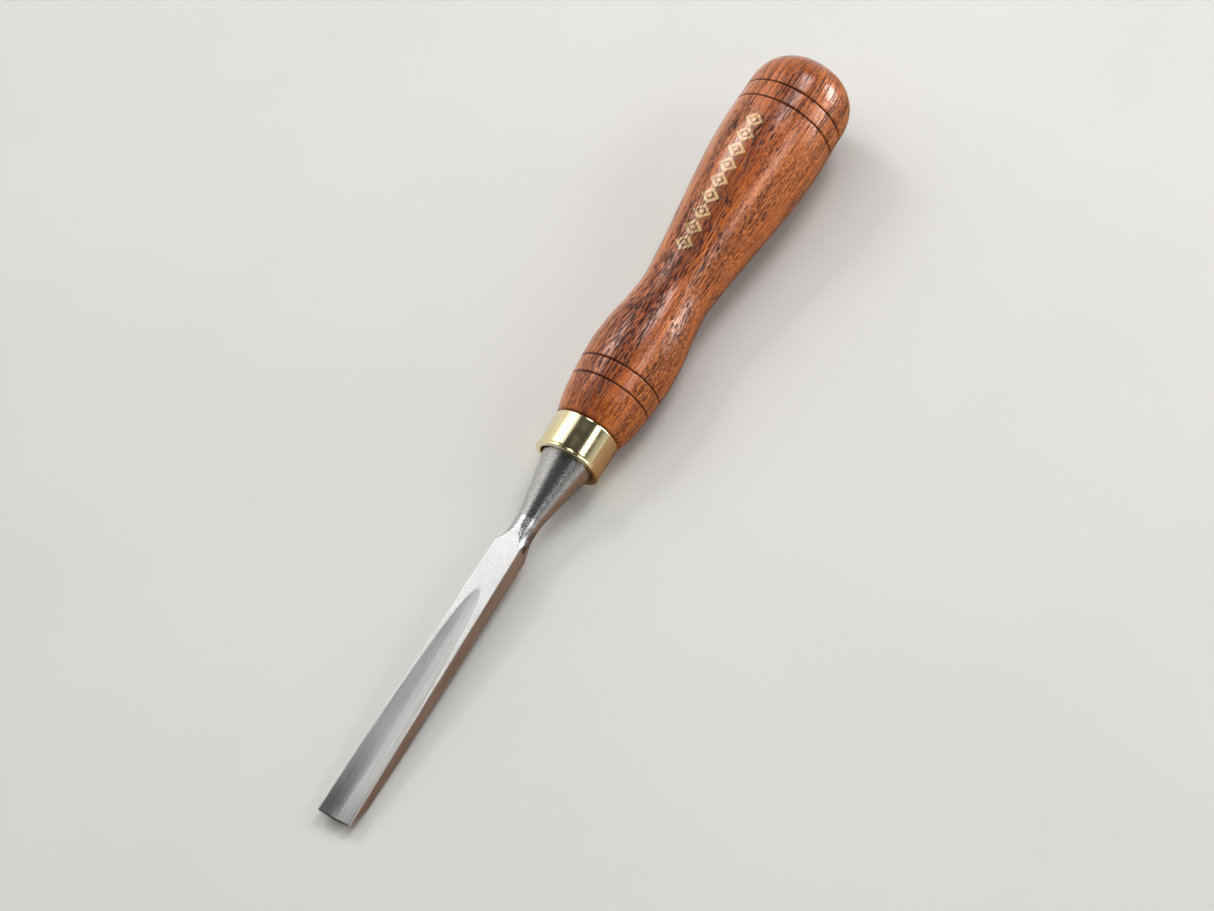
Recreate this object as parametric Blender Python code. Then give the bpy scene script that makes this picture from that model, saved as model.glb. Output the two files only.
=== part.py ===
"""A straight carving gouge with a turned hardwood handle, lying on a flat surface.

Each piece is modelled along the tool's own axis and parented to one empty, which lays the tool down.
In that tool frame the axis is Z: the cutting edge is at z = 0 and the butt is at z = -OVERALL_LENGTH.
+X is the way the hollow face looks, and Y runs across the blade. A station is a distance from the
cutting edge towards the butt, so a point at a station has z = -station. Lengths are in metres.
"""

import bmesh
import bpy
from math import asin, atan2, cos, pi, radians, sin, sqrt, tan
from mathutils import Matrix, Vector

OVERALL_LENGTH = 0.2505
FIT_GAP = 0.0003
TURNING_STEPS = 48
MERGE_DISTANCE = 0.00001
SHARP_ANGLE = radians(35)

# How far a cutter or a blank runs past the piece that it shapes.
OVERRUN = 0.0010

# Blade: a flat bar that narrows and thickens from the cutting edge to the shoulder.
EDGE_WIDTH = 0.0103
EDGE_BAR_THICKNESS = 0.0039
SHOULDER_STATION = 0.0846
SHOULDER_WIDTH = 0.0079
SHOULDER_THICKNESS = 0.0067
ARRIS_CHAMFER = 0.00012
BAR_BLEND_END = 0.0920

# Flute: a round-bottomed hollow in the face, deepest at the edge, which runs out before the shoulder.
FLUTE_RADIUS = 0.0090
FLUTE_DEPTH = 0.0015
FLUTE_LENGTH = 0.0708
FLUTE_FALL_POWER = 1.3
FLUTE_END_POWER = 0.75
FLUTE_EXIT_SLOPE = 0.09
FLUTE_ARC_STEPS = 16
FLUTE_STATIONS = 22
HOLLOW_HALF_SPAN = 0.0063
CUTTER_REACH = 0.0100

# Cutting bevel: ground on the back, parallel to the hollow, down to a thin land at the edge.
BEVEL_ANGLE = radians(28)
EDGE_LAND = 0.00012
BEVEL_CUTTER_END = 0.0120

# Neck, cone and bolster, turned in one piece with the bar, and the square tang behind them.
BLANK_RADIUS = 0.0066
SHOULDER_TOP_RADIUS = 0.0053
SHOULDER_FALL_POWER = 2.2
SHOULDER_STEPS = 8
SHOULDER_STEP = 0.0001
NECK_STATION = 0.0918
NECK_RADIUS = 0.0035
CONE_START_STATION = 0.0945
CONE_FLARE_POWER = 1.12
CONE_STEPS = 9
BOLSTER_STATION = 0.1147
BOLSTER_RADIUS = 0.00745
TANG_FRONT_WIDTH = 0.0052
TANG_END_WIDTH = 0.0026
TANG_END_STATION = 0.1780

# Ferrule: a thin tube with a rolled bead at its mouth.
FERRULE_FRONT = 0.1137
FERRULE_BACK = 0.1248
FERRULE_RADIUS = 0.00945
FERRULE_WALL = 0.0006
FERRULE_MOUTH_RADIUS = 0.0080
FERRULE_FRONT_WALL = 0.0009
BEAD_RADIUS = 0.00045
BEAD_STEP = 0.00015
BEAD_SWEEP = radians(150)
BEAD_STEPS = 6
BACK_EDGE_ROUND = 0.0007
BACK_EDGE_DROP = 0.0004
BACK_ROUND_STEPS = 3

# Handle: a tenon for the ferrule, a swell, a waist, a larger swell and a domed butt.
TENON_GAP = 0.0004
TENON_FRONT = FERRULE_FRONT + FERRULE_FRONT_WALL + TENON_GAP
HANDLE_FRONT = FERRULE_BACK + FIT_GAP
HANDLE_FRONT_RADIUS = 0.0097
DOME_STATION = 0.2370
DOME_POWER = 2.3
HANDLE_STATIONS = (
    (HANDLE_FRONT, HANDLE_FRONT_RADIUS),
    (0.1310, 0.0112),
    (0.1380, 0.0120),
    (0.1470, 0.0125),
    (0.1550, 0.0120),
    (0.1630, 0.01075),
    (0.1710, 0.0100),
    (0.1800, 0.01075),
    (0.2060, 0.0139),
    (0.2150, 0.0148),
    (0.2240, 0.01515),
    (DOME_STATION, 0.01488),
)
GROOVE_STATIONS = (0.1360, 0.1415, 0.2296, 0.2350)
GROOVE_HALF_WIDTH = 0.0003
GROOVE_DEPTH = 0.0004
PROFILE_STEP = 0.0034
DOME_STEPS = 11


def clear_scene():
    for obj in list(bpy.data.objects):
        bpy.data.objects.remove(obj)


def make_material(name, colour, metallic, roughness):
    material = bpy.data.materials.new(name)
    material.use_nodes = True
    shader = material.node_tree.nodes["Principled BSDF"]
    shader.inputs["Base Color"].default_value = (*colour, 1.0)
    shader.inputs["Metallic"].default_value = metallic
    shader.inputs["Roughness"].default_value = roughness
    return material


def add_object(name, mesh, parent):
    obj = bpy.data.objects.new(name, mesh)
    bpy.context.scene.collection.objects.link(obj)
    obj.parent = parent
    return obj


def make_guide(obj):
    """Keeps a cutter or a blank out of the finished tool."""
    obj.hide_render = True
    obj.display_type = "WIRE"


def turned(name, profile, closed, parent):
    """Turns a profile of (station, radius) pairs, from the edge end to the butt, round the axis."""
    mesh = bpy.data.meshes.new(name)
    points = [(radius, 0.0, -station) for station, radius in profile]
    edges = [(i, i + 1) for i in range(len(points) - 1)]
    if closed:
        edges.append((len(points) - 1, 0))
    mesh.from_pydata(points, edges, [])
    obj = add_object(name, mesh, parent)
    screw = obj.modifiers.new("Turning", "SCREW")
    screw.axis = "Z"
    screw.angle = 2 * pi
    screw.steps = TURNING_STEPS
    screw.render_steps = TURNING_STEPS
    screw.use_merge_vertices = True
    screw.merge_threshold = MERGE_DISTANCE
    return obj


def lofted(name, loops, parent):
    """Joins closed loops of equal point counts into one solid with flat ends."""
    shape = bmesh.new()
    rings = [[shape.verts.new(point) for point in loop] for loop in loops]
    for front, back in zip(rings, rings[1:]):
        for i in range(len(front)):
            j = (i + 1) % len(front)
            shape.faces.new((front[i], front[j], back[j], back[i]))
    shape.faces.new(rings[0])
    shape.faces.new(rings[-1])
    bmesh.ops.recalc_face_normals(shape, faces=shape.faces)
    mesh = bpy.data.meshes.new(name)
    shape.to_mesh(mesh)
    shape.free()
    return add_object(name, mesh, parent)


def combine(target, other, operation):
    boolean = target.modifiers.new(f"{operation.title()} {other.name}", "BOOLEAN")
    boolean.object = other
    boolean.operation = operation
    boolean.solver = "EXACT"
    make_guide(other)


def shade_round(obj):
    """Shades the piece smooth, with its real edges left sharp."""
    obj.data.shade_smooth()
    obj.data.set_sharp_from_angle(angle=SHARP_ANGLE)


def rectangle(station, half_thickness, half_width):
    """The four corners of a cross-section, with the face side first."""
    return [
        (half_thickness, -half_width, -station),
        (half_thickness, half_width, -station),
        (-half_thickness, half_width, -station),
        (-half_thickness, -half_width, -station),
    ]


def bar_half_width(station):
    return (EDGE_WIDTH + (SHOULDER_WIDTH - EDGE_WIDTH) * station / SHOULDER_STATION) / 2


def bar_half_thickness(station):
    growth = (SHOULDER_THICKNESS - EDGE_BAR_THICKNESS) * station / SHOULDER_STATION
    return (EDGE_BAR_THICKNESS + growth) / 2


def flute_depth(station):
    """The depth below the flat face. It is negative past the flute's end, where the cutter climbs out."""
    if station > FLUTE_LENGTH:
        return -FLUTE_EXIT_SLOPE * (station - FLUTE_LENGTH)
    share = max(station, 0.0) / FLUTE_LENGTH
    return FLUTE_DEPTH * (1 - share**FLUTE_FALL_POWER) ** FLUTE_END_POWER


def arc_rise(width_place):
    """The height of the round hollow above its lowest line."""
    return FLUTE_RADIUS - sqrt(FLUTE_RADIUS**2 - width_place**2)


def hollow_loop(station, lowest, far_side):
    """A cross-section bounded by the hollow's arc on one side and by a flat side on the other."""
    half_angle = asin(HOLLOW_HALF_SPAN / FLUTE_RADIUS)
    loop = []
    for i in range(FLUTE_ARC_STEPS + 1):
        across = FLUTE_RADIUS * sin(half_angle * (2 * i / FLUTE_ARC_STEPS - 1))
        loop.append((lowest + arc_rise(across), across, -station))
    loop.append((far_side, loop[-1][1], -station))
    loop.append((far_side, loop[0][1], -station))
    return loop


def bar_loop(station):
    return rectangle(station, bar_half_thickness(station), bar_half_width(station))


def make_bar_blank(parent):
    """The outer limits of the blade: a tapered bar up to the neck, and free space behind it."""
    free_space = [rectangle(s, CUTTER_REACH, CUTTER_REACH) for s in (BAR_BLEND_END, BOLSTER_STATION + OVERRUN)]
    blank = lofted("bar_blank", [bar_loop(0.0), bar_loop(BAR_BLEND_END), *free_space], parent)
    shape = bmesh.new()
    shape.from_mesh(blank.data)
    shape.verts.ensure_lookup_table()
    arrises = [shape.edges.get((shape.verts[i], shape.verts[i + 4])) for i in range(4)]
    bmesh.ops.bevel(shape, geom=arrises, offset=ARRIS_CHAMFER, segments=1, affect="EDGES")
    shape.to_mesh(blank.data)
    shape.free()
    return blank


def make_flute_cutter(parent):
    stations = [-OVERRUN]
    for i in range(FLUTE_STATIONS + 1):
        stations.append(FLUTE_LENGTH * sin(pi / 2 * i / FLUTE_STATIONS))
    stations.append(FLUTE_LENGTH + OVERRUN)
    loops = [hollow_loop(s, bar_half_thickness(s) - flute_depth(s), CUTTER_REACH) for s in stations]
    return lofted("flute_cutter", loops, parent)


def edge_line():
    """The lowest line of the hollow at the cutting edge, less the thin land under it."""
    return bar_half_thickness(0.0) - FLUTE_DEPTH - EDGE_LAND


def make_bevel_cutter(parent):
    loops = []
    for station in (-OVERRUN, BEVEL_CUTTER_END):
        loops.append(hollow_loop(station, edge_line() - station * tan(BEVEL_ANGLE), -CUTTER_REACH))
    return lofted("bevel_cutter", loops, parent)


def tang_loop(station, extra):
    share = (station - BOLSTER_STATION) / (TANG_END_STATION - BOLSTER_STATION)
    half_width = (TANG_FRONT_WIDTH + (TANG_END_WIDTH - TANG_FRONT_WIDTH) * share) / 2 + extra
    return rectangle(station, half_width, half_width)


def blade_profile():
    """The turned outline of the blade forging, from in front of the edge to the back of the bolster."""
    profile = [(-OVERRUN, 0.0), (-OVERRUN, BLANK_RADIUS), (SHOULDER_STATION - SHOULDER_STEP, BLANK_RADIUS)]
    for i in range(SHOULDER_STEPS + 1):
        share = i / SHOULDER_STEPS
        drop = (SHOULDER_TOP_RADIUS - NECK_RADIUS) * (1 - share) ** SHOULDER_FALL_POWER
        profile.append((SHOULDER_STATION + (NECK_STATION - SHOULDER_STATION) * share, NECK_RADIUS + drop))
    for i in range(CONE_STEPS + 1):
        share = i / CONE_STEPS
        station = CONE_START_STATION + (BOLSTER_STATION - CONE_START_STATION) * share
        profile.append((station, NECK_RADIUS + (BOLSTER_RADIUS - NECK_RADIUS) * share**CONE_FLARE_POWER))
    profile.append((BOLSTER_STATION, 0.0))
    return profile


def make_blade(parent, material):
    blade = turned("gouge_blade", blade_profile(), False, parent)
    combine(blade, make_bar_blank(parent), "INTERSECT")
    combine(blade, make_flute_cutter(parent), "DIFFERENCE")
    combine(blade, make_bevel_cutter(parent), "DIFFERENCE")
    tang_root = BOLSTER_STATION - OVERRUN
    tang = lofted("tang", [tang_loop(tang_root, 0.0), tang_loop(TANG_END_STATION, 0.0)], parent)
    combine(blade, tang, "UNION")
    shade_round(blade)
    blade.data.materials.append(material)
    return blade


def ferrule_profile():
    """The closed outline of the ferrule: bead, tube, rounded back edge, bore and mouth."""
    bore_radius = FERRULE_RADIUS - FERRULE_WALL
    mouth_back = FERRULE_FRONT + FERRULE_FRONT_WALL
    bead_station = FERRULE_FRONT + BEAD_RADIUS
    bead_centre = FERRULE_RADIUS + BEAD_STEP - BEAD_RADIUS
    profile = [(FERRULE_FRONT, FERRULE_MOUTH_RADIUS)]
    for i in range(BEAD_STEPS + 1):
        angle = BEAD_SWEEP * i / BEAD_STEPS
        profile.append((bead_station - BEAD_RADIUS * cos(angle), bead_centre + BEAD_RADIUS * sin(angle)))
    profile.append((bead_station + BEAD_RADIUS, FERRULE_RADIUS))
    for i in range(BACK_ROUND_STEPS + 1):
        angle = pi / 2 * i / BACK_ROUND_STEPS
        station = FERRULE_BACK - BACK_EDGE_ROUND * (1 - sin(angle))
        profile.append((station, FERRULE_RADIUS - BACK_EDGE_DROP * (1 - cos(angle))))
    profile += [(FERRULE_BACK, bore_radius), (mouth_back, bore_radius), (mouth_back, FERRULE_MOUTH_RADIUS)]
    return profile


def make_ferrule(parent, material):
    ferrule = turned("ferrule", ferrule_profile(), True, parent)
    shade_round(ferrule)
    ferrule.data.materials.append(material)
    return ferrule


def station_slopes(points):
    """The slope at each point of a smooth outline that has no swell or hollow between its points."""
    steps = [(b[1] - a[1]) / (b[0] - a[0]) for a, b in zip(points, points[1:])]
    slopes = [steps[0]]
    for before, after in zip(steps, steps[1:]):
        slopes.append(0.0 if before * after <= 0 else 2 * before * after / (before + after))
    slopes.append(0.0)
    return slopes


def handle_radius(station):
    """The handle's radius in front of its dome, on a smooth curve through HANDLE_STATIONS."""
    slopes = station_slopes(HANDLE_STATIONS)
    for i in range(len(HANDLE_STATIONS) - 1):
        start, start_radius = HANDLE_STATIONS[i]
        end, end_radius = HANDLE_STATIONS[i + 1]
        if station <= end:
            break
    length = end - start
    u = (station - start) / length
    start_part = (1 + 2 * u) * (1 - u) ** 2 * start_radius + u * (1 - u) ** 2 * length * slopes[i]
    end_part = u * u * (3 - 2 * u) * end_radius + u * u * (u - 1) * length * slopes[i + 1]
    return start_part + end_part


def handle_stations():
    """Even steps along the handle's body, with three points at each turned groove."""
    count = round((DOME_STATION - HANDLE_FRONT) / PROFILE_STEP)
    even = [HANDLE_FRONT + (DOME_STATION - HANDLE_FRONT) * i / count for i in range(count + 1)]
    kept = [s for s in even if all(abs(s - g) > 2 * GROOVE_HALF_WIDTH for g in GROOVE_STATIONS)]
    for groove in GROOVE_STATIONS:
        kept += [groove - GROOVE_HALF_WIDTH, groove, groove + GROOVE_HALF_WIDTH]
    return sorted(kept)


def handle_body_profile():
    """The outside of the handle, from its shoulder behind the ferrule to the end of its dome."""
    profile = []
    for station in handle_stations():
        depth = GROOVE_DEPTH if station in GROOVE_STATIONS else 0.0
        profile.append((station, handle_radius(station) - depth))
    dome_length = OVERALL_LENGTH - DOME_STATION
    dome_radius = HANDLE_STATIONS[-1][1]
    for i in range(1, DOME_STEPS):
        share = sin(pi / 2 * i / DOME_STEPS)
        radius = dome_radius * (1 - share**DOME_POWER) ** (1 / DOME_POWER)
        profile.append((DOME_STATION + dome_length * share, radius))
    profile.append((OVERALL_LENGTH, 0.0))
    return profile


def make_handle(parent, material):
    tenon_radius = FERRULE_RADIUS - FERRULE_WALL - FIT_GAP
    tenon = [(TENON_FRONT, 0.0), (TENON_FRONT, tenon_radius), (HANDLE_FRONT, tenon_radius)]
    handle = turned("handle", tenon + handle_body_profile(), False, parent)
    hole_loops = [tang_loop(s, FIT_GAP) for s in (TENON_FRONT - OVERRUN, TANG_END_STATION + FIT_GAP)]
    combine(handle, lofted("tang_hole", hole_loops, parent), "DIFFERENCE")
    shade_round(handle)
    handle.data.materials.append(material)
    return handle


def heel_point():
    """The station and depth of the bevel's heel on the centre line, where it meets the flat back."""
    thickness_slope = (SHOULDER_THICKNESS - EDGE_BAR_THICKNESS) / SHOULDER_STATION / 2
    station = (edge_line() + EDGE_BAR_THICKNESS / 2) / (tan(BEVEL_ANGLE) - thickness_slope)
    return station, bar_half_thickness(station)


def lying_pose():
    """Lays the tool, face up, on its heel and its handle, with the middle of its box at the origin."""
    heel_station, heel_depth = heel_point()
    body = handle_body_profile()
    pitch = max(atan2(radius - heel_depth, station - heel_station) for station, radius in body)
    lift = heel_depth * cos(pitch) - heel_station * sin(pitch)
    front = -bar_half_thickness(0.0) * sin(pitch)
    back = max(station * cos(pitch) + radius * sin(pitch) for station, radius in body)
    pose = Matrix.Identity(4)
    pose.col[0] = Vector((-sin(pitch), 0.0, cos(pitch), 0.0))
    pose.col[2] = Vector((-cos(pitch), 0.0, -sin(pitch), 0.0))
    pose.col[3] = Vector((-(front + back) / 2, 0.0, lift, 1.0))
    return pose


def main():
    clear_scene()
    tool_axis = add_object("tool_axis", None, None)
    tool_axis.matrix_world = lying_pose()
    steel = make_material("ground_steel", (0.56, 0.57, 0.58), 1.0, 0.34)
    brass = make_material("polished_brass", (0.83, 0.66, 0.34), 1.0, 0.18)
    wood = make_material("varnished_hardwood", (0.34, 0.11, 0.035), 0.0, 0.28)
    make_blade(tool_axis, steel)
    make_ferrule(tool_axis, brass)
    make_handle(tool_axis, wood)


main()
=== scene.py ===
from math import atan2, cos, pi, radians, sin, sqrt, tan

import bpy
import numpy as np
from mathutils import Matrix, Vector, noise


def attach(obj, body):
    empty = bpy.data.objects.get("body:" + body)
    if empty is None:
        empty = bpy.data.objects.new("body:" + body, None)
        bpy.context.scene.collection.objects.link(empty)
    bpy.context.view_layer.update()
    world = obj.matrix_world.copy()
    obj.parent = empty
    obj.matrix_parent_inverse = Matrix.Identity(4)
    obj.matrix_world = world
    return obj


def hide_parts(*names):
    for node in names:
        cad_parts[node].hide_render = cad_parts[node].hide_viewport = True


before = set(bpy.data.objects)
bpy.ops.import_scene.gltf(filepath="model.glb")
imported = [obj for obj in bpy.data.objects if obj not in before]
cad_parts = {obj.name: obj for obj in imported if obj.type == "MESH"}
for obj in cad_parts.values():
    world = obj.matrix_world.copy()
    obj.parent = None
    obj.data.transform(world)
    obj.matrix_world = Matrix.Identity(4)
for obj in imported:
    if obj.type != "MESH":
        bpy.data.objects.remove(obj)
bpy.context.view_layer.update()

# The tool frame: the tool's axis is Z, the cutting edge is at z = 0 and a station t is at z = -t.
# +X is the way the hollow face looks, and Y runs across the blade. Lengths are in metres.
OVERALL_LENGTH = 0.2505
FIT_GAP = 0.0003

# Blade
EDGE_WIDTH = 0.0103
EDGE_BAR_THICKNESS = 0.0039
SHOULDER_STATION = 0.0846
SHOULDER_WIDTH = 0.0079
SHOULDER_THICKNESS = 0.0067
FLUTE_RADIUS = 0.0090
FLUTE_DEPTH = 0.0015
FLUTE_LENGTH = 0.0708
FLUTE_FALL_POWER = 1.3
FLUTE_END_POWER = 0.75
BEVEL_ANGLE = radians(28)
EDGE_LAND = 0.00012
SHOULDER_TOP_RADIUS = 0.0053
SHOULDER_FALL_POWER = 2.2
NECK_STATION = 0.0918
NECK_RADIUS = 0.0035
CONE_START_STATION = 0.0945
CONE_FLARE_POWER = 1.12
BOLSTER_STATION = 0.1147
BOLSTER_RADIUS = 0.00745
TANG_END_STATION = 0.1780
TANG_FRONT_HALF = 0.0026
TANG_END_HALF = 0.0013

# Ferrule
FERRULE_FRONT = 0.1137
FERRULE_BACK = 0.1248
FERRULE_RADIUS = 0.00945
FERRULE_BORE = 0.00885
FERRULE_MOUTH_RADIUS = 0.0080
FERRULE_FRONT_WALL = 0.0009
FERRULE_LIP = 0.00018
BEAD_RADIUS = 0.00045
BEAD_CENTRE = 0.00915
BEAD_SWEEP = radians(172)
BEAD_FOOT_START = 0.00006
BEAD_FOOT_LENGTH = 0.0004
BEAD_FOOT_DROP = 0.00016
BACK_ROUND = 0.00055
BACK_DROP = 0.0004
FERRULE_STEPS = 192

# Handle
HANDLE_FRONT = 0.1251
HANDLE_FRONT_RADIUS = 0.0097
HANDLE_FRONT_EASE = 0.0001
TENON_FRONT = 0.1150
TENON_RADIUS = 0.00855
HOLE_MOUTH_RADIUS = 0.0040
HOLE_END_RADIUS = 0.0021
DOME_STATION = 0.2370
DOME_POWER = 2.3
HANDLE_STATIONS = (
    (HANDLE_FRONT, HANDLE_FRONT_RADIUS), (0.1310, 0.0112), (0.1380, 0.0120),
    (0.1470, 0.0125), (0.1550, 0.0120), (0.1630, 0.01075), (0.1710, 0.0100), (0.1800, 0.01075),
    (0.2060, 0.0139), (0.2150, 0.0148), (0.2240, 0.01515), (DOME_STATION, 0.01488),
)
# An outline ends on the axis in a pinhole, too small to see.
PINHOLE = 0.000002
GROOVE_STATIONS = (0.1360, 0.1415, 0.2296, 0.2350)
GROOVE_DEPTH = 0.00042
GROOVE_SPREAD = 0.00024
GROOVE_REACH = 0.0007
GROOVE_STEP = 0.00007
BODY_STEP = 0.0005
DOME_STEPS = 40
HANDLE_STEPS = 168


# ---------------------------------------------------------------- shapes
def bar_half_width(t):
    return (EDGE_WIDTH + (SHOULDER_WIDTH - EDGE_WIDTH) * t / SHOULDER_STATION) / 2


def bar_half_thickness(t):
    return (EDGE_BAR_THICKNESS + (SHOULDER_THICKNESS - EDGE_BAR_THICKNESS) * t / SHOULDER_STATION) / 2


def flute_depth(t):
    """The depth of the hollow below the flat face. It is far above the face where there is no hollow."""
    if t >= FLUTE_LENGTH:
        return -1.0
    return FLUTE_DEPTH * (1 - (t / FLUTE_LENGTH) ** FLUTE_FALL_POWER) ** FLUTE_END_POWER


def arc_rise(y):
    """The height of the round hollow above its lowest line."""
    return FLUTE_RADIUS - sqrt(max(FLUTE_RADIUS**2 - y * y, 0.0))


def edge_line():
    """The lowest line of the hollow at the cutting edge, less the thin land under it."""
    return bar_half_thickness(0.0) - FLUTE_DEPTH - EDGE_LAND


def face_height(t, y):
    """The height of the face over the tool's axis: the flat, or the hollow where it is lower."""
    flat = bar_half_thickness(t)
    return min(flat, flat - flute_depth(t) + arc_rise(y))


def back_height(t, y):
    """The height of the back: the flat, or the cutting bevel where it is higher."""
    return max(-bar_half_thickness(t), edge_line() + arc_rise(y) - t * tan(BEVEL_ANGLE))


def turned_radius(t):
    """The radius of the turned part of the forging, which trims the bar behind the shoulder."""
    if t < SHOULDER_STATION:
        return 1.0
    if t < NECK_STATION:
        share = (t - SHOULDER_STATION) / (NECK_STATION - SHOULDER_STATION)
        return NECK_RADIUS + (SHOULDER_TOP_RADIUS - NECK_RADIUS) * (1 - share) ** SHOULDER_FALL_POWER
    share = max(0.0, (t - CONE_START_STATION) / (BOLSTER_STATION - CONE_START_STATION))
    return NECK_RADIUS + (BOLSTER_RADIUS - NECK_RADIUS) * share**CONE_FLARE_POWER


def station_slopes(points):
    """The slope at each point of a smooth outline that has no swell or hollow between its points."""
    steps = [(b[1] - a[1]) / (b[0] - a[0]) for a, b in zip(points, points[1:])]
    slopes = [steps[0]]
    for before, after in zip(steps, steps[1:]):
        slopes.append(0.0 if before * after <= 0 else 2 * before * after / (before + after))
    slopes.append(0.0)
    return slopes


SLOPES = station_slopes(HANDLE_STATIONS)


def handle_radius(t):
    if t > DOME_STATION:
        share = min(1.0, (t - DOME_STATION) / (OVERALL_LENGTH - DOME_STATION))
        return HANDLE_STATIONS[-1][1] * (1 - share**DOME_POWER) ** (1 / DOME_POWER)
    for i in range(len(HANDLE_STATIONS) - 1):
        start, start_radius = HANDLE_STATIONS[i]
        end, end_radius = HANDLE_STATIONS[i + 1]
        if t <= end:
            break
    length = end - start
    u = (t - start) / length
    start_part = (1 + 2 * u) * (1 - u) ** 2 * start_radius + u * (1 - u) ** 2 * length * SLOPES[i]
    end_part = u * u * (3 - 2 * u) * end_radius + u * u * (u - 1) * length * SLOPES[i + 1]
    return start_part + end_part


def lying_pose():
    """The tool lies, face up, on the heel of its bevel and on its handle."""
    slope = (SHOULDER_THICKNESS - EDGE_BAR_THICKNESS) / SHOULDER_STATION / 2
    heel = (edge_line() + EDGE_BAR_THICKNESS / 2) / (tan(BEVEL_ANGLE) - slope)
    heel_depth = bar_half_thickness(heel)
    stations = np.arange(HANDLE_FRONT, OVERALL_LENGTH, 0.00005)
    body = [(t, handle_radius(t)) for t in stations] + [(OVERALL_LENGTH, 0.0)]
    pitch = max(atan2(r - heel_depth, t - heel) for t, r in body)
    lift = heel_depth * cos(pitch) - heel * sin(pitch)
    front = -bar_half_thickness(0.0) * sin(pitch)
    back = max(t * cos(pitch) + r * sin(pitch) for t, r in body)
    pose = Matrix.Identity(4)
    pose.col[0] = Vector((-sin(pitch), 0.0, cos(pitch), 0.0))
    pose.col[2] = Vector((-cos(pitch), 0.0, -sin(pitch), 0.0))
    pose.col[3] = Vector((-(front + back) / 2, 0.0, lift, 1.0))
    return pose


# ---------------------------------------------------------------- meshes
def ring_mesh(name, rings, cap_start=False, cap_end=False):
    """Skins a stack of closed rings with equal point counts."""
    rings = np.asarray(rings, float)
    count, size = rings.shape[:2]
    here = np.arange(count * size).reshape(count, size)
    right = np.roll(here, -1, axis=1)
    quads = np.stack([here[:-1], here[1:], right[1:], right[:-1]], -1).reshape(-1, 4).tolist()
    if cap_start:
        quads.append(here[0].tolist())
    if cap_end:
        quads.append(here[-1][::-1].tolist())
    mesh = bpy.data.meshes.new(name)
    mesh.from_pydata(rings.reshape(-1, 3).tolist(), [], quads)
    mesh.validate()
    return mesh


def add_values(mesh, name, values):
    """Gives each point a number that the materials read by name."""
    layer = mesh.attributes.new(name, "FLOAT", "POINT")
    layer.data.foreach_set("value", np.asarray(values, np.float32).ravel())


def piece(name, mesh, material, node):
    """Keeps each point's place along the tool for the materials, then lays the piece down."""
    places = np.zeros(len(mesh.vertices) * 3, np.float32)
    mesh.vertices.foreach_get("co", places)
    layer = mesh.attributes.new("tool_place", "FLOAT_VECTOR", "POINT")
    layer.data.foreach_set("vector", places)
    mesh.transform(POSE)
    obj = bpy.data.objects.new(name, mesh)
    bpy.context.scene.collection.objects.link(obj)
    mesh.materials.append(material)
    mesh.shade_smooth()
    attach(obj, "root")
    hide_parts(node)


def turned_rings(profile, steps):
    """Turns an outline of (station, radius) pairs round the tool's axis."""
    turns = [2 * pi * k / steps for k in range(steps)]
    return [[(r * cos(a), r * sin(a), -t) for a in turns] for t, r in profile]


def quarter_turn(steps):
    return [pi / 2 * k / steps for k in range(steps + 1)]


def smooth_step(low, high, x):
    u = np.clip((np.asarray(x, float) - low) / (high - low), 0.0, 1.0)
    return u * u * (3 - 2 * u)


# Points round the blade, and the small wear on its arrises and its cutting edge.
FACE_POINTS = 72
BACK_POINTS = 40
SIDE_POINTS = 12
ARRIS_POINTS = 3
ARRIS = 0.00013
FINE_NICK = 0.00007
BROAD_NICK = 0.00009
FLUTE_BLEND = 0.00003
GRIND_END_STATION = 0.0893
GRIND_END_CURVE = 247
EDGE_ZONE_END = 0.0082
EDGE_WEAR = 0.00010
EDGE_CHIP = 0.00045
EDGE_WEAR_REACH = 0.0006
# Stretches of the blade, with the step between the rings of each.
BLADE_SPANS = (
    (0.0, EDGE_ZONE_END, 0.00012),
    (EDGE_ZONE_END, 0.0640, 0.0004),
    (0.0640, 0.0712, 0.00012),
    (0.0712, 0.0840, 0.0004),
    (0.0840, 0.0925, 0.0001),
    (0.0925, BOLSTER_STATION, 0.0003),
)
# Stretches over which a finish gives way to the next, along the blade or across it, and over which the
# painted shade on the neck's -Y side fades.
TURNED_BLEND = (0.0905, 0.0925)
NECK_SHADE_BLEND = (0.0895, 0.0945)
NECK_SHADE_SIDE = (-0.0007, -0.0014)


def nick(t, side):
    """Small dents along an arris, never outside the true edge."""
    fine = noise.noise(Vector((t * 900, side * 3.1, 0.3)))
    broad = noise.noise(Vector((t * 160, side * 7.7, 5.1)))
    return FINE_NICK * max(0.0, fine - 0.25) + BROAD_NICK * max(0.0, broad - 0.15)


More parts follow.
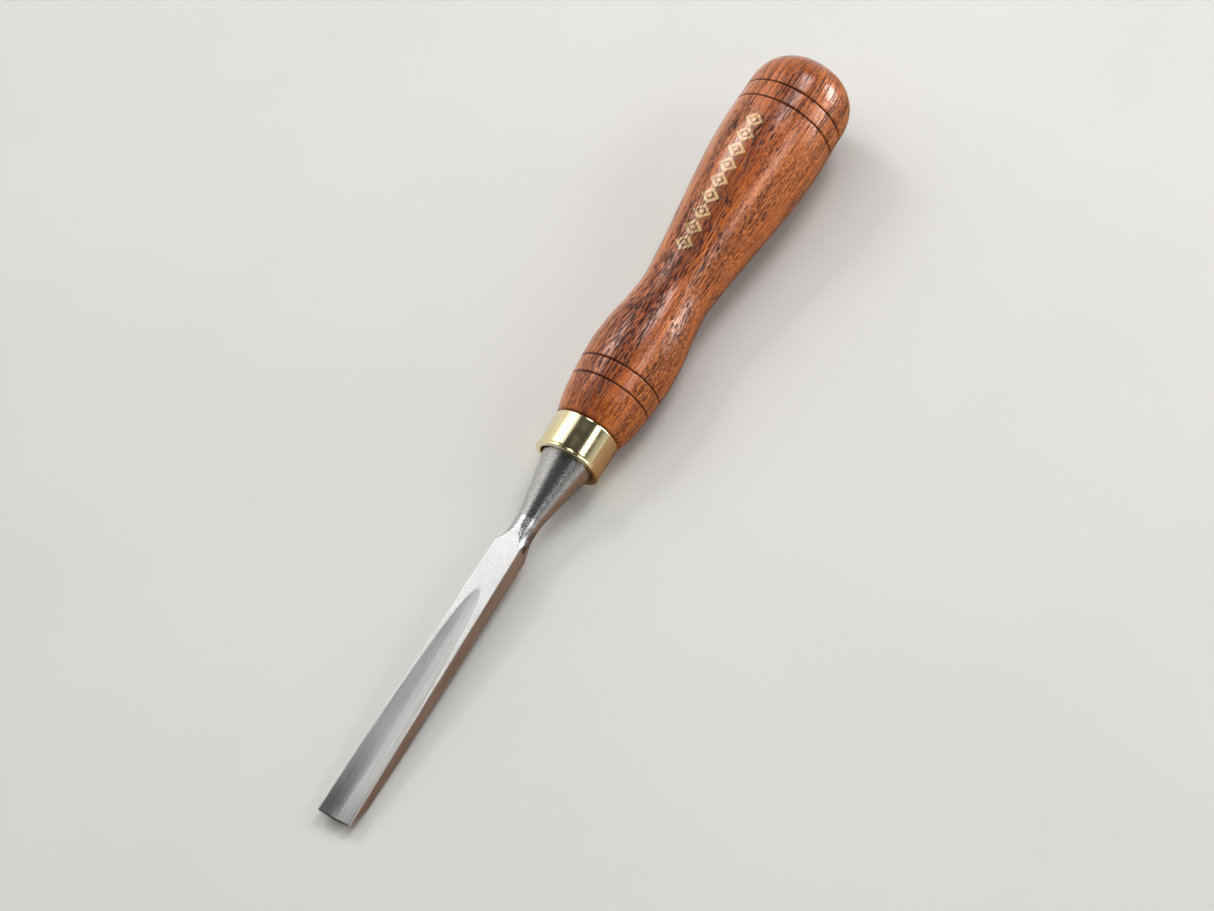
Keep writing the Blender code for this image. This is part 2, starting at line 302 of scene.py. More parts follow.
def blade_ring(t):
    """One ring of (x, y) points: face, arris, side, arris, back, arris, side, arris.

    It also gives each point's shares of the hollow's finish and of the side's.
    """
    half = bar_half_width(t)
    corner = min(ARRIS, 0.45 * (face_height(t, half - ARRIS) - back_height(t, half - ARRIS)))
    inner = half - corner
    top = face_height(t, inner)
    bottom = back_height(t, inner)
    turns = [pi / 2 * k / (ARRIS_POINTS + 1) for k in range(1, ARRIS_POINTS + 1)]
    drops = [(top - bottom - 2 * corner) * i / (SIDE_POINTS - 1) for i in range(SIDE_POINTS)]
    points = []
    finishes = []

    def add(x, y, flute=0.0, side=0.0):
        points.append((x, y))
        finishes.append((flute, side))

    for i in range(FACE_POINTS):
        y = inner * (2 * i / (FACE_POINTS - 1) - 1)
        x = face_height(t, y)
        add(x, y, flute=min(1.0, max(0.0, (bar_half_thickness(t) - x) / FLUTE_BLEND)))
    for a in turns:
        add(top - corner + corner * cos(a) - nick(t, 1), inner + corner * sin(a) - nick(t, 1))
    for drop in drops:
        add(top - corner - drop, half, side=1.0)
    for a in turns:
        add(bottom + corner - corner * sin(a), inner + corner * cos(a), side=0.5)
    for i in range(BACK_POINTS):
        y = inner * (1 - 2 * i / (BACK_POINTS - 1))
        add(back_height(t, y), y)
    for a in turns:
        add(bottom + corner - corner * cos(a), -inner - corner * sin(a), side=0.5)
    for drop in drops:
        add(bottom + corner + drop, -half, side=1.0)
    for a in turns:
        add(top - corner + corner * sin(a) - nick(t, -1), -inner - corner * cos(a) + nick(t, -1))
    return points, finishes


def trim_ring(t, points):
    """Cuts a ring down to the turned outline, and marks the points that are not on ground faces."""
    limit = turned_radius(t)
    ring = []
    trimmed = []
    for x, y in points:
        far = sqrt(x * x + y * y)
        scale = limit / far if t >= NECK_STATION else min(1.0, limit / far)
        ring.append((x * scale, y * scale, -t))
        # The grinding of the face ends in an arc in front of the neck.
        past_arc = x > 0 and t > GRIND_END_STATION - GRIND_END_CURVE * y * y
        trimmed.append(1.0 if limit < far or past_arc else 0.0)
    return ring, trimmed


def span(start, end, step):
    count = max(1, round((end - start) / step))
    return [start + (end - start) * i / count for i in range(count)]


def wear_edge(rings, stations):
    """The cutting edge is not a ruled line: some tenths of a millimetre are worn and chipped off it."""
    near = np.exp(-stations / EDGE_WEAR_REACH) * (1 - stations / EDGE_ZONE_END).clip(0, 1)
    for k in range(rings.shape[1]):
        y = rings[0, k, 1]
        worn = EDGE_WEAR * (1 + noise.noise(Vector((y * 900, 0.0, 2.0)))) / 2
        worn += EDGE_CHIP * max(0.0, noise.noise(Vector((y * 620, 9.0, 4.0))) - 0.05)
        rings[:, k, 2] -= worn * near


def tang_ring(t, half, angles):
    """A square ring whose points stand at the given angles round the axis."""
    reach = half / np.maximum(np.abs(np.cos(angles)), np.abs(np.sin(angles)))
    return np.stack([reach * np.cos(angles), reach * np.sin(angles), np.full(len(angles), -t)], -1)


def make_blade(material):
    stations = [t for stretch in BLADE_SPANS for t in span(*stretch)] + [BOLSTER_STATION]
    rings = []
    finishes = []
    trimmed = []
    for t in stations:
        points, finish = blade_ring(t)
        ring, trim = trim_ring(t, points)
        rings.append(ring)
        finishes.append(finish)
        trimmed.append(trim)
    rings = np.array(rings)
    wear_edge(rings, np.array(stations))
    # The tang behind the bolster is forged in one piece with the blade.
    angles = np.arctan2(rings[-1, :, 1], rings[-1, :, 0])
    tang = [
        tang_ring(BOLSTER_STATION, TANG_FRONT_HALF, angles),
        tang_ring(TANG_END_STATION, TANG_END_HALF, angles),
    ]
    rings = np.concatenate([rings, tang])
    finishes = np.array(finishes + finishes[-1:] * len(tang))
    trimmed = np.array(trimmed + trimmed[-1:] * len(tang))
    mesh = ring_mesh("gouge_blade_steel", rings, True, True)
    places = -rings[:, :, 2]
    add_values(mesh, "flute", finishes[:, :, 0])
    add_values(mesh, "side", finishes[:, :, 1] * (1 - trimmed))
    add_values(mesh, "turned", np.maximum(trimmed, smooth_step(*TURNED_BLEND, places)))
    # Painted shade: the values named scale darken the -Y side of the trimmed shoulder, and fade out at the
    # neck.
    shaded_side = smooth_step(*NECK_SHADE_SIDE, rings[:, :, 1])
    add_values(mesh, "scale", shaded_side * trimmed * (1 - smooth_step(*NECK_SHADE_BLEND, places)))
    piece("blade_forging", mesh, material, "gouge_blade")
    mesh.set_sharp_from_angle(angle=radians(50))


def ferrule_profile():
    """The closed outline: rounded lip, bead with a soft foot, tube, rounded back edge, bore and mouth."""
    bead_station = FERRULE_FRONT + BEAD_RADIUS
    profile = [(FERRULE_FRONT + FERRULE_LIP, FERRULE_MOUTH_RADIUS)]
    for a in quarter_turn(6):
        station = FERRULE_FRONT + FERRULE_LIP * (1 - sin(a))
        profile.append((station, FERRULE_MOUTH_RADIUS + FERRULE_LIP * (1 - cos(a))))
    for k in range(25):
        a = BEAD_SWEEP * k / 24
        profile.append((bead_station - BEAD_RADIUS * cos(a), BEAD_CENTRE + BEAD_RADIUS * sin(a)))
    foot = bead_station + BEAD_RADIUS + BEAD_FOOT_START
    for k in range(13):
        share = k / 12
        profile.append((foot + BEAD_FOOT_LENGTH * share, FERRULE_RADIUS - BEAD_FOOT_DROP * (1 - share) ** 2))
    tube_start = profile[-1][0]
    tube_end = FERRULE_BACK - BACK_ROUND
    for k in range(1, 24):
        profile.append((tube_start + (tube_end - tube_start) * k / 24, FERRULE_RADIUS))
    for a in quarter_turn(12):
        profile.append((FERRULE_BACK - BACK_ROUND * (1 - sin(a)), FERRULE_RADIUS - BACK_DROP * (1 - cos(a))))
    mouth_back = FERRULE_FRONT + FERRULE_FRONT_WALL
    profile += [(FERRULE_BACK, FERRULE_BORE), (mouth_back, FERRULE_BORE), (mouth_back, FERRULE_MOUTH_RADIUS)]
    return profile


def make_ferrule(material):
    profile = ferrule_profile()
    mesh = ring_mesh("ferrule_brass", turned_rings(profile + profile[:1], FERRULE_STEPS))
    piece("ferrule_tube", mesh, material, "ferrule")
    mesh.set_sharp_from_angle(angle=radians(40))


def groove_shape(t):
    """The share of a turned groove's depth at a station."""
    return max(np.exp(-(((t - g) / GROOVE_SPREAD) ** 2)) for g in GROOVE_STATIONS)


def body_stations():
    """Even steps along the handle's body, with finer ones over each groove."""
    stations = span(HANDLE_FRONT + 3 * HANDLE_FRONT_EASE, DOME_STATION, BODY_STEP)
    for g in GROOVE_STATIONS:
        stations += list(np.arange(g - GROOVE_REACH, g + GROOVE_REACH + GROOVE_STEP / 7, GROOVE_STEP))
    return sorted(set(round(t, 7) for t in stations))


def handle_outline():
    """The handle's outline, from the end of its tang hole to the butt, as (station, radius, groove) rows."""
    hole_end = TANG_END_STATION + FIT_GAP
    rows = [
        (hole_end, PINHOLE, 0.0),
        (hole_end, HOLE_END_RADIUS, 0.0),
        (TENON_FRONT, HOLE_MOUTH_RADIUS, 0.0),
        (TENON_FRONT, TENON_RADIUS, 0.0),
        (HANDLE_FRONT, TENON_RADIUS, 0.0),
        (HANDLE_FRONT, HANDLE_FRONT_RADIUS - 3 * HANDLE_FRONT_EASE, 0.0),
        (HANDLE_FRONT + HANDLE_FRONT_EASE, HANDLE_FRONT_RADIUS - HANDLE_FRONT_EASE, 0.0),
    ]
    for t in body_stations():
        groove = groove_shape(t)
        rows.append((t, handle_radius(t) - GROOVE_DEPTH * groove, groove))
    for a in quarter_turn(DOME_STEPS)[1:-1]:
        t = DOME_STATION + (OVERALL_LENGTH - DOME_STATION) * sin(a)
        rows.append((t, handle_radius(t), 0.0))
    rows.append((OVERALL_LENGTH, PINHOLE, 0.0))
    return rows


def make_handle(material):
    rows = handle_outline()
    rings = turned_rings([(t, r) for t, r, groove in rows], HANDLE_STEPS)
    mesh = ring_mesh("handle_wood", rings, True, True)
    add_values(mesh, "groove", np.repeat([groove for t, r, groove in rows], HANDLE_STEPS))
    piece("handle_turning", mesh, material, "handle")
    mesh.set_sharp_from_angle(angle=radians(40))


# ---------------------------------------------------------------- materials
class Nodes:
    """A short way to write a material's node tree. Colours are linear."""

    def __init__(self, name):
        self.material = bpy.data.materials.new(name)
        self.material.use_nodes = True
        self.tree = self.material.node_tree
        self.shader = self.tree.nodes["Principled BSDF"]
        self.place = self.add("ShaderNodeAttribute", attribute_name="tool_place").outputs["Vector"]

    def add(self, kind, **settings):
        node = self.tree.nodes.new(kind)
        for key, value in settings.items():
            setattr(node, key, value)
        return node

    def put(self, socket, value):
        if isinstance(value, bpy.types.NodeSocket):
            self.tree.links.new(value, socket)
        elif isinstance(value, tuple) and socket.type == "RGBA":
            socket.default_value = (*value, 1.0)
        else:
            socket.default_value = value

    def math(self, operation, first, second=0.0):
        node = self.add("ShaderNodeMath", operation=operation)
        self.put(node.inputs[0], first)
        self.put(node.inputs[1], second)
        return node.outputs[0]

    def stretched(self, scale, turn=(0.0, 0.0, 0.0), source=None):
        """Turns the place, then multiplies it: the pattern gets `scale` features per metre on each axis."""
        node = self.add("ShaderNodeMapping", vector_type="TEXTURE")
        self.put(node.inputs["Vector"], source or self.place)
        node.inputs["Rotation"].default_value = turn
        node.inputs["Scale"].default_value = tuple(1 / s for s in scale)
        return node.outputs["Vector"]

    def noise(self, place, detail, roughness=0.5):
        node = self.add("ShaderNodeTexNoise")
        self.put(node.inputs["Vector"], place)
        node.inputs["Scale"].default_value = 1.0
        node.inputs["Detail"].default_value = detail
        node.inputs["Roughness"].default_value = roughness
        return node.outputs["Fac"]

    def both(self, first, second):
        return self.math("MULTIPLY", first, second)

    def either(self, first, second):
        return self.math("MAXIMUM", first, second)

    def rest(self, share):
        return self.math("SUBTRACT", 1.0, share)

    def cells(self, place):
        """The distance to the middle of the nearest cell."""
        node = self.add("ShaderNodeTexVoronoi")
        self.put(node.inputs["Vector"], place)
        node.inputs["Scale"].default_value = 1.0
        return node.outputs["Distance"]

    def spread(self, value, low, high, to_low=0.0, to_high=1.0, smooth=False, clamp=True):
        """Maps low to to_low and high to to_high, and holds those values outside them."""
        node = self.add("ShaderNodeMapRange", clamp=clamp)
        if smooth:
            node.interpolation_type = "SMOOTHSTEP"
        self.put(node.inputs["Value"], value)
        self.put(node.inputs["From Min"], low)
        self.put(node.inputs["From Max"], high)
        self.put(node.inputs["To Min"], to_low)
        self.put(node.inputs["To Max"], to_high)
        return node.outputs["Result"]

    def mix(self, share, first, second):
        node = self.add("ShaderNodeMix", data_type="RGBA")
        self.put(node.inputs["Factor"], share)
        self.put(node.inputs[6], first)
        self.put(node.inputs[7], second)
        return node.outputs[2]

    def value(self, name):
        """A number that add_values gave to each point."""
        return self.add("ShaderNodeAttribute", attribute_name=name).outputs["Fac"]

    def bump(self, height, distance, strength):
        node = self.add("ShaderNodeBump")
        node.inputs["Strength"].default_value = strength
        node.inputs["Distance"].default_value = distance
        self.put(node.inputs["Height"], height)
        return node.outputs["Normal"]

    def split(self, source=None):
        """The x, y and z of a place."""
        node = self.add("ShaderNodeSeparateXYZ")
        self.put(node.inputs[0], source or self.place)
        return node.outputs

    def set(self, **values):
        """Sets the shader's sockets by name, with _ for a space, and gives the material."""
        for key, value in values.items():
            self.put(self.shader.inputs[key.replace("_", " ")], value)
        return self.material


GROUND_DARK = (0.49, 0.495, 0.50)
GROUND_LIGHT = (0.655, 0.655, 0.65)
HOLLOW_DARK = (0.42, 0.425, 0.435)
HOLLOW_LIGHT = (0.66, 0.665, 0.67)
HOLLOW_STREAK = (0.72, 0.725, 0.73)
# Partly a faint blue film at the edge, partly a painted dark reflection on the +Y side of the hollow.
EDGE_FILM_AND_DARK_REFLECTION = (0.085, 0.090, 0.100)
# The sides' warm brown is a painted reflection of a brown bench, over grey steel.
FLANK_BENCH_REFLECTION_DARK = (0.34, 0.29, 0.26)
FLANK_BENCH_REFLECTION_LIGHT = (0.62, 0.55, 0.50)
CONE_DARK = (0.36, 0.365, 0.375)
CONE_LIGHT = (0.68, 0.685, 0.69)
# Painted shade on the -Y side of the shoulder.
NECK_SHADE_DARK = (0.12, 0.12, 0.125)
NECK_SHADE_LIGHT = (0.38, 0.38, 0.385)
HANDLED_STEEL = (0.36, 0.35, 0.34)


def edge_film_and_dark_reflection(n, line, patch):
    """Near the edge the hollow is darker: a faintly blued film all across, and on the +Y side a painted dark
    reflection that is stronger and reaches further back.
    """
    x, y, z = n.split()
    station = n.math("MULTIPLY", z, -1.0)
    shore = n.math("ADD", y, n.spread(patch, 0.0, 1.0, -0.0016, 0.0016))
    film = n.both(n.spread(shore, -0.0020, 0.0026, smooth=True), n.spread(station, 0.026, 0.004))
    film = n.either(film, n.spread(station, 0.0140, 0.0, 0.0, 0.50))
    film = n.both(film, n.spread(line, 0.3, 0.7, 1.0, 0.78))
    return n.both(film, 0.88)


def steel_material():
    n = Nodes("ground_steel")
    flute = n.value("flute")
    side = n.value("side")
    turned = n.value("turned")
    cross = n.noise(n.stretched((1500, 700, 9000), (0.35, 0.0, 0.0)), detail=3, roughness=0.6)
    line = n.noise(n.stretched((400, 9000, 25)), detail=3, roughness=0.65)
    broad = n.noise(n.stretched((200, 1100, 14)), detail=2)
    long = n.noise(n.stretched((4200, 4200, 55)), detail=3, roughness=0.65)
    fine = n.noise(n.stretched((5200, 5200, 2600)), detail=3, roughness=0.75)
    patch = n.noise(n.stretched((260, 260, 120)), detail=3)

    ground = n.mix(n.spread(cross, 0.35, 0.65), GROUND_DARK, GROUND_LIGHT)
    hollow = n.mix(n.spread(line, 0.34, 0.66), HOLLOW_DARK, HOLLOW_LIGHT)
    hollow = n.mix(n.spread(broad, 0.46, 0.66, 0.0, 0.5), hollow, HOLLOW_STREAK)
    hollow = n.mix(edge_film_and_dark_reflection(n, line, patch), hollow, EDGE_FILM_AND_DARK_REFLECTION)
    # Painted reflection: the sides' warm brown stands in for a brown bench that they would mirror.
    flank_with_reflection = n.mix(n.spread(long, 0.35, 0.65), FLANK_BENCH_REFLECTION_DARK, FLANK_BENCH_REFLECTION_LIGHT)
    cone = n.mix(n.spread(fine, 0.40, 0.60), CONE_DARK, CONE_LIGHT)
    # Painted shade, in the values named scale: the -Y side of the shoulder in front of the neck is painted
    # dark, as if in shadow.
    scale = n.mix(n.spread(line, 0.45, 0.60), NECK_SHADE_DARK, NECK_SHADE_LIGHT)
    colour = n.mix(flute, ground, hollow)
    colour = n.mix(side, colour, flank_with_reflection)
    colour = n.mix(turned, colour, cone)
    colour = n.mix(n.value("scale"), colour, scale)
    colour = n.mix(n.spread(patch, 0.55, 0.80, 0.0, 0.35), colour, HANDLED_STEEL)

    # The hollow and the sides are rougher than the ground faces, and the turned part is smoother.
    rough = n.math("ADD", n.spread(cross, 0.3, 0.7, 0.30, 0.42), n.both(flute, 0.20))
    rough = n.math("ADD", rough, n.both(side, 0.12))
    rough = n.math("SUBTRACT", rough, n.both(turned, 0.10))

    scratch = n.both(cross, n.spread(flute, 0.0, 1.0, 1.0, 0.15))
    streak = n.both(line, n.spread(flute, 0.0, 1.0, 0.1, 1.8))
    height = n.math("ADD", scratch, streak)
    height = n.math("ADD", height, n.both(fine, n.both(turned, 1.6)))
    normal = n.bump(height, 0.00003, 0.6)
    return n.set(Base_Color=colour, Metallic=1.0, Roughness=rough, Normal=normal)


BRASS_BRIGHT = (0.90, 0.82, 0.54)
BRASS_DULL = (0.84, 0.74, 0.45)
BRASS_SPECK = (0.40, 0.30, 0.14)


def brass_material():
    n = Nodes("polished_brass")
    film = n.noise(n.stretched((320, 320, 320)), detail=4)
    hair = n.noise(n.stretched((900, 900, 16000)), detail=2)
    speck = n.noise(n.stretched((5200, 5200, 5200)), detail=2)
    colour = n.mix(n.spread(film, 0.35, 0.70), BRASS_BRIGHT, BRASS_DULL)
    colour = n.mix(n.spread(speck, 0.66, 0.74, 0.0, 0.5), colour, BRASS_SPECK)
    rough = n.spread(film, 0.3, 0.7, 0.11, 0.19)
    height = n.math("ADD", n.both(film, 2.0), n.both(hair, 0.25))
    normal = n.bump(height, 0.00002, 0.4)
    return n.set(Base_Color=colour, Metallic=1.0, Roughness=rough, Normal=normal)


# Lozenges in gold foil, in stations along the top of the handle.
FOIL_START = 0.1790
FOIL_END = 0.2240
FOIL_COUNT = 9
FOIL_HALF_HEIGHT = 0.0030
FOIL_TURN = radians(5)
FOIL_COLOUR = (0.62, 0.42, 0.19)

# The cylinder that the pores are laid out on, and the colours of the wood, with a painted light and a
# painted shade among them.
WRAP_RADIUS = 0.012
FIGURE_DARK = (0.165, 0.029, 0.008)
FIGURE_LIGHT = (0.50, 0.122, 0.025)
BAND_COLOUR = (0.150, 0.027, 0.009)
FIBRE_LIGHT = (0.76, 0.235, 0.055)
FIBRE_DARK = (0.062, 0.013, 0.007)
GLINT_COLOUR = (0.90, 0.290, 0.065)
# Painted light for the handle's +Y side.
LEFT_PAINTED_LIGHT = (0.74, 0.250, 0.060)
# Painted shade for a band near the middle of the handle's width.
CENTRE_PAINTED_SHADE = (0.130, 0.025, 0.009)
PORE_COLOUR = (0.026, 0.009, 0.009)
GROOVE_COLOUR = (0.026, 0.009, 0.005)


def foil_mask(n, pores):
    """A row of plain lozenges in worn gold foil along the top of the handle."""
    x, y, z = n.split()
    station = n.math("MULTIPLY", z, -1.0)
    along = n.spread(station, FOIL_START, FOIL_END, clamp=False)
    inside = n.both(n.math("GREATER_THAN", along, 0.0), n.math("LESS_THAN", along, 1.0))
    cell = n.math("FRACT", n.both(along, FOIL_COUNT))
    run = n.math("ABSOLUTE", n.math("SUBTRACT", n.both(cell, 2.0), 1.0))
    turned_y = n.math("SUBTRACT", n.both(y, cos(FOIL_TURN)), n.both(x, sin(FOIL_TURN)))
    rise = n.math("DIVIDE", n.math("ABSOLUTE", turned_y), FOIL_HALF_HEIGHT)
    reach = n.math("ADD", run, rise)
    outline = n.both(n.math("LESS_THAN", reach, 0.99), n.math("GREATER_THAN", reach, 0.56))
    lozenge = n.either(outline, n.math("LESS_THAN", reach, 0.30))
    top = n.math("GREATER_THAN", x, 0.0)
    wear = n.noise(n.stretched((3200, 3200, 1400)), detail=3, roughness=0.7)
    mask = n.both(n.both(lozenge, inside), n.both(top, n.spread(wear, 0.36, 0.46)))
    return n.both(mask, n.rest(n.both(pores, 0.6)))


def wrapped_place(n):
    """The place pressed onto a cylinder, so that lines of the grain follow the turned surface."""
    flat = n.add("ShaderNodeVectorMath", operation="MULTIPLY")
    n.put(flat.inputs[0], n.place)
    flat.inputs[1].default_value = (1.0, 1.0, 0.0)
    unit = n.add("ShaderNodeVectorMath", operation="NORMALIZE")
    n.put(unit.inputs[0], flat.outputs["Vector"])
    ring = n.add("ShaderNodeVectorMath", operation="SCALE")
    n.put(ring.inputs[0], unit.outputs["Vector"])
    ring.inputs["Scale"].default_value = WRAP_RADIUS
    along = n.add("ShaderNodeVectorMath", operation="MULTIPLY_ADD")
    n.put(along.inputs[0], n.place)
    along.inputs[1].default_value = (0.0, 0.0, 1.0)
    n.put(along.inputs[2], ring.outputs["Vector"])
    return along.outputs["Vector"]


class Grain:
    """The noises and the zones that the handle's colour and its pores share."""

    def __init__(self, n):
        self.wrapped = wrapped_place(n)
        across = n.split(self.wrapped)[1]
        self.station = n.math("MULTIPLY", n.split()[2], -1.0)
        self.figure = n.noise(n.stretched((460, 460, 18)), detail=4, roughness=0.6)
        self.fibre = n.noise(n.stretched((3400, 3400, 95), source=self.wrapped), detail=3, roughness=0.7)
        self.bands = n.noise(n.stretched((330, 110, 12)), detail=2)
        self.left = n.spread(across, 0.40 * WRAP_RADIUS, 0.80 * WRAP_RADIUS, smooth=True)
        self.right = n.spread(across, -0.35 * WRAP_RADIUS, -0.75 * WRAP_RADIUS, smooth=True)
        # A band near the middle of the handle's width: more pores lie in it, and its colour is painted
        # darker as shade.
        off_centre_band = n.math("ABSOLUTE", n.math("ADD", across, 0.0018))
        self.centre_pores_and_shade = n.spread(off_centre_band, 0.0042, 0.0012, smooth=True)
        self.past_swell = n.spread(self.station, 0.1330, 0.1400)


def wood_colour(n, grain):
    fleck = n.noise(n.stretched((3000, 3000, 800), source=grain.wrapped), detail=3, roughness=0.7)
    colour = n.mix(n.spread(grain.figure, 0.38, 0.62), FIGURE_DARK, FIGURE_LIGHT)
    colour = n.mix(n.spread(grain.bands, 0.47, 0.64, 0.0, 0.55, smooth=True), colour, BAND_COLOUR)
    colour = n.mix(n.spread(grain.fibre, 0.47, 0.66, 0.0, 0.50), colour, FIBRE_LIGHT)
    colour = n.mix(n.spread(grain.fibre, 0.49, 0.34, 0.0, 0.75), colour, FIBRE_DARK)
    glint = n.both(n.spread(fleck, 0.50, 0.62), n.spread(grain.right, 0.0, 1.0, 0.25, 0.75))
    colour = n.mix(glint, colour, GLINT_COLOUR)
    # Painted light: the +Y side of the handle is painted lighter and more orange.
    colour = n.mix(n.both(grain.left, 0.35), colour, LEFT_PAINTED_LIGHT)
    # Painted shade: the middle band is painted darker.
    return n.mix(n.both(grain.centre_pores_and_shade, 0.40), colour, CENTRE_PAINTED_SHADE)


def pore_mask(n, grain):
    """The pores: long lines on the sides and the dome, dashes elsewhere, and dots at the butt's end."""
    lined = n.either(grain.left, n.both(grain.right, 0.6))
    lined = n.either(lined, n.spread(grain.station, 0.2210, 0.2290, smooth=True))
    lined = n.both(lined, n.spread(grain.past_swell, 0.0, 1.0, 0.3, 1.0))

    drift = n.noise(n.stretched((90, 90, 26)), detail=2)
    dense = n.math("ADD", grain.bands, n.both(drift, 0.5))
    dense = n.math("ADD", dense, n.both(grain.centre_pores_and_shade, 0.12))
    dense = n.spread(dense, 0.60, 0.84, 0.21, 0.50)
    dense = n.both(dense, n.spread(lined, 0.0, 1.0, 1.0, 0.60))
    dense = n.both(dense, n.spread(grain.past_swell, 0.0, 1.0, 0.75, 1.0))

    def marks(cells_per_metre, reach, soft, source=grain.wrapped):
        distance = n.cells(n.stretched(cells_per_metre, source=source))
        return n.spread(distance, reach, n.math("SUBTRACT", reach, soft))

    short = marks((2250, 2250, 330), dense, 0.09)
    medium = marks((2500, 2500, 150), n.both(dense, 0.80), 0.09)
    long = marks((2200, 2200, 68), n.spread(lined, 0.0, 1.0, 0.14, 0.36), 0.10)
    dot = marks((2300, 2300, 330), 0.32, 0.12, n.place)
    at_end = n.spread(grain.station, 0.2425, 0.2465)
    before_end = n.both(n.either(n.either(short, medium), long), n.rest(at_end))
    return n.math("ADD", before_end, n.both(dot, at_end))


def wood_material():
    n = Nodes("varnished_hardwood")
    grain = Grain(n)
    pores = pore_mask(n, grain)
    colour = n.mix(n.both(pores, 0.92), wood_colour(n, grain), PORE_COLOUR)
    # The grooves are coloured darker, near black where they are deepest.
    colour = n.mix(n.spread(n.value("groove"), 0.12, 0.75, 0.0, 0.90), colour, GROOVE_COLOUR)
    colour = n.mix(n.both(foil_mask(n, pores), 0.92), colour, FOIL_COLOUR)
    # The varnish dips into the pores and is thin there.
    dip = n.math("SUBTRACT", n.both(grain.fibre, 0.5), pores)
    return n.set(
        Base_Color=colour,
        Metallic=0.0,
        Roughness=n.spread(grain.figure, 0.3, 0.7, 0.40, 0.52),
        Specular_IOR_Level=0.05,
        Normal=n.bump(dip, 0.00005, 0.6),
        Coat_Weight=n.rest(n.both(pores, 0.7)),
        Coat_Roughness=0.12,
        Coat_IOR=1.5,
        Coat_Normal=n.bump(dip, 0.00011, 0.9),
    )


# ---------------------------------------------------------------- stage
LIGHT_TARGET = Vector((0.0, 0.0, 0.015))


def add_light(name, towards, distance, size, power, in_reflections=True, in_diffuse=True):
    """A soft panel that faces the tool from a direction. Its first size runs along the tool."""
    light = bpy.data.lights.new(name, "AREA")
    light.shape = "RECTANGLE"
    light.size, light.size_y = size
    light.energy = power
    obj = bpy.data.objects.new(name, light)
    bpy.context.scene.collection.objects.link(obj)
    direction = Vector(towards).normalized()
    along = Vector((1.0, 0.0, 0.0))
    along = (along - along.dot(direction) * direction).normalized()
    across = direction.cross(along)
    turn = Matrix((along, across, direction)).transposed().to_4x4()
    obj.matrix_world = Matrix.Translation(LIGHT_TARGET + direction * distance) @ turn
    obj.visible_camera = False
    obj.visible_glossy = in_reflections
    obj.visible_diffuse = in_diffuse


def make_lights():
    """Five panels that show in reflections, one of them only there, and two washes that show in none."""
    add_light("key_panel", (0.30, 0.60, 0.74), 0.95, (0.44, 0.72), 0.85)
    add_light("window_panel", (0.32, 0.60, 0.73), 0.90, (0.16, 0.24), 1.5)
    add_light("fill_panel", (0.28, -0.74, 0.60), 0.90, (0.40, 0.20), 1.2)
    add_light("end_panel", (0.74, -0.64, 0.10), 0.80, (0.38, 0.36), 6.5, in_diffuse=False)
    add_light("end_wash", (0.74, -0.64, 0.35), 1.80, (1.0, 1.0), 6.0, in_reflections=False)
    add_light("back_panel", (0.62, -0.16, 0.78), 0.95, (0.40, 0.26), 3.1)
    add_light("top_wash", (0.0, 0.0, 1.0), 1.60, (1.6, 1.6), 13.0, in_reflections=False)


# Each row is an axis, two places on it and the room's strength at each.
WORLD_COLOUR = (1.0, 0.95, 0.87, 1.0)
WORLD_LEVELS = (("Z", 0.45, 0.10, 0.05, 0.50), ("Y", 0.25, 0.75, 0.05, 0.85))


def make_world():
    """A dark zenith, a soft grey horizon and a bright room on the +Y side."""
    world = bpy.data.worlds.new("studio")
    bpy.context.scene.world = world
    world.use_nodes = True
    tree = world.node_tree
    back = tree.nodes["Background"]
    place = tree.nodes.new("ShaderNodeTexCoord")
    parts = tree.nodes.new("ShaderNodeSeparateXYZ")
    tree.links.new(place.outputs["Generated"], parts.inputs[0])
    levels = []
    for axis, start, end, start_level, end_level in WORLD_LEVELS:
        node = tree.nodes.new("ShaderNodeMapRange")
        node.interpolation_type = "SMOOTHSTEP"
        tree.links.new(parts.outputs[axis], node.inputs["Value"])
        node.inputs["From Min"].default_value = start
        node.inputs["From Max"].default_value = end
        node.inputs["To Min"].default_value = start_level
        node.inputs["To Max"].default_value = end_level
        levels.append(node.outputs["Result"])
    higher = tree.nodes.new("ShaderNodeMath")
    higher.operation = "MAXIMUM"
    tree.links.new(levels[0], higher.inputs[0])
    tree.links.new(levels[1], higher.inputs[1])
    tree.links.new(higher.outputs[0], back.inputs["Strength"])
    back.inputs["Color"].default_value = WORLD_COLOUR


FLOOR_REACH = 6.0
FLOOR_DARK = (0.60, 0.595, 0.58)
FLOOR_LIGHT = (0.63, 0.625, 0.61)
CARD_COLOUR = (0.28, 0.155, 0.085)
CARD_HEIGHT = 0.0006
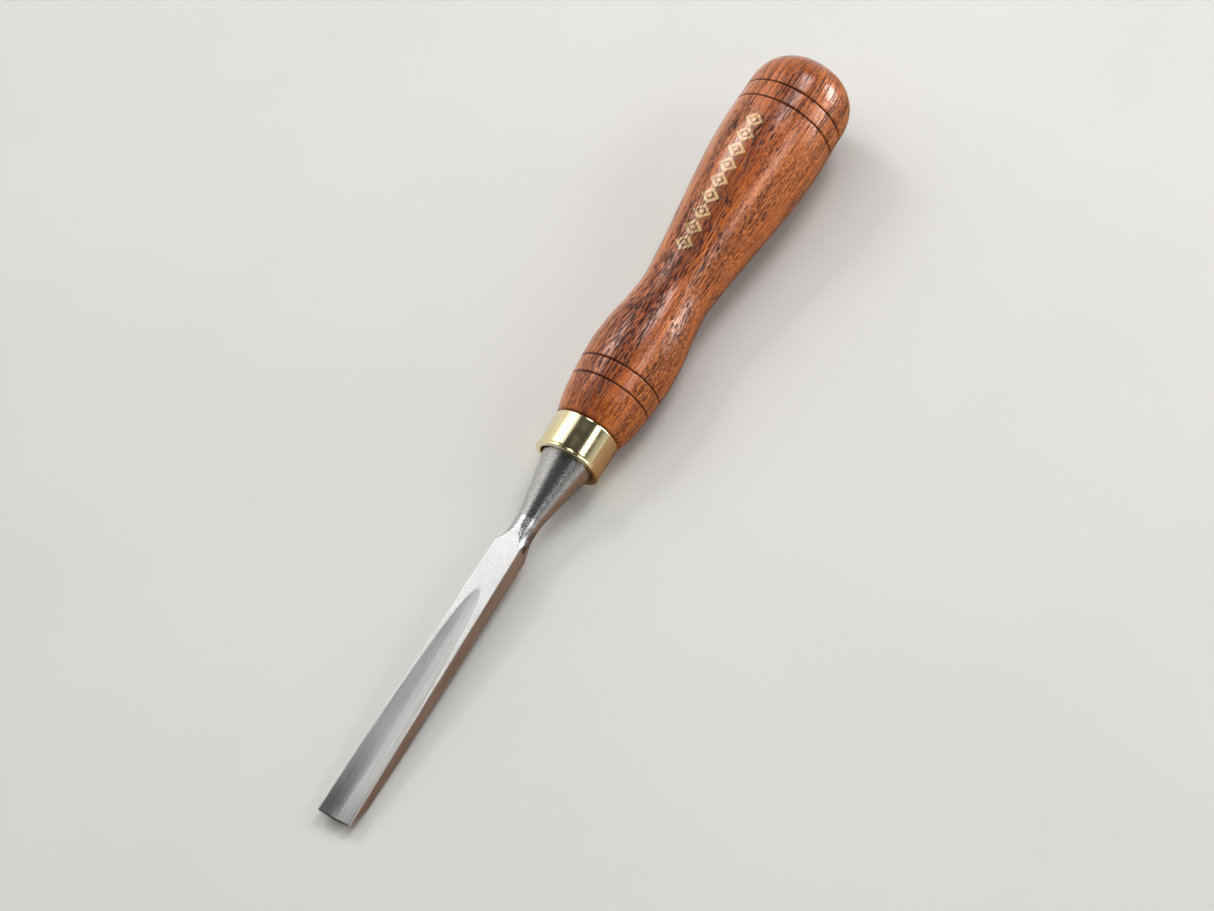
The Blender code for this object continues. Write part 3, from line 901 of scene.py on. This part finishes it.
# Under the blade the card is narrow, and under the handle it is wide.
CARD_OUTLINE = ((-0.16, 0.004), (-0.16, -0.05), (0.0, -0.05), (0.03, -0.15), (0.22, -0.15), (0.22, 0.004))

CAMERA_LENS = 100.8
CAMERA_PLACE = (-0.35465, -0.38091, 0.74958)
CAMERA_TURN = (radians(33.3875), radians(9.8866), radians(-57.8463))


def floor_material():
    n = Nodes("pale_floor")
    ground = n.add("ShaderNodeTexCoord").outputs["Object"]
    mottle = n.noise(n.stretched((9, 9, 9), source=ground), detail=3)
    colour = n.mix(n.spread(mottle, 0.3, 0.7), FLOOR_DARK, FLOOR_LIGHT)
    return n.set(Base_Color=colour, Roughness=0.65, Specular_IOR_Level=0.0)


def stage_plane(name, outline, height, material):
    """A flat face that isn't part of the object."""
    mesh = bpy.data.meshes.new(name)
    mesh.from_pydata([(x, y, height) for x, y in outline], [], [tuple(range(len(outline)))])
    mesh.materials.append(material)
    plane = bpy.data.objects.new(name, mesh)
    bpy.context.scene.collection.objects.link(plane)
    return plane


def make_floor():
    corners = [(x * FLOOR_REACH, y * FLOOR_REACH) for x, y in ((-1, -1), (1, -1), (1, 1), (-1, 1))]
    stage_plane("floor", corners, 0.0, floor_material())


def make_bench_card():
    """A brown card, seen only in reflections, in the place of the bench that the tool's side faces."""
    material = Nodes("bench_card").set(Base_Color=CARD_COLOUR, Roughness=0.6)
    card = stage_plane("bench_card", CARD_OUTLINE, CARD_HEIGHT, material)
    card.visible_camera = False
    card.visible_diffuse = False
    card.visible_shadow = False
    card.visible_transmission = False


def make_camera():
    data = bpy.data.cameras.new("camera")
    data.sensor_width = 36.0
    data.lens = CAMERA_LENS
    data.clip_start = 0.01
    data.clip_end = 50.0
    camera = bpy.data.objects.new("camera", data)
    bpy.context.scene.collection.objects.link(camera)
    camera.location = CAMERA_PLACE
    camera.rotation_euler = CAMERA_TURN
    bpy.context.scene.camera = camera


POSE = lying_pose()
bpy.context.scene.view_settings.view_transform = "Standard"
make_world()
make_floor()
make_camera()
make_bench_card()
make_lights()
make_blade(steel_material())
make_ferrule(brass_material())
make_handle(wood_material())
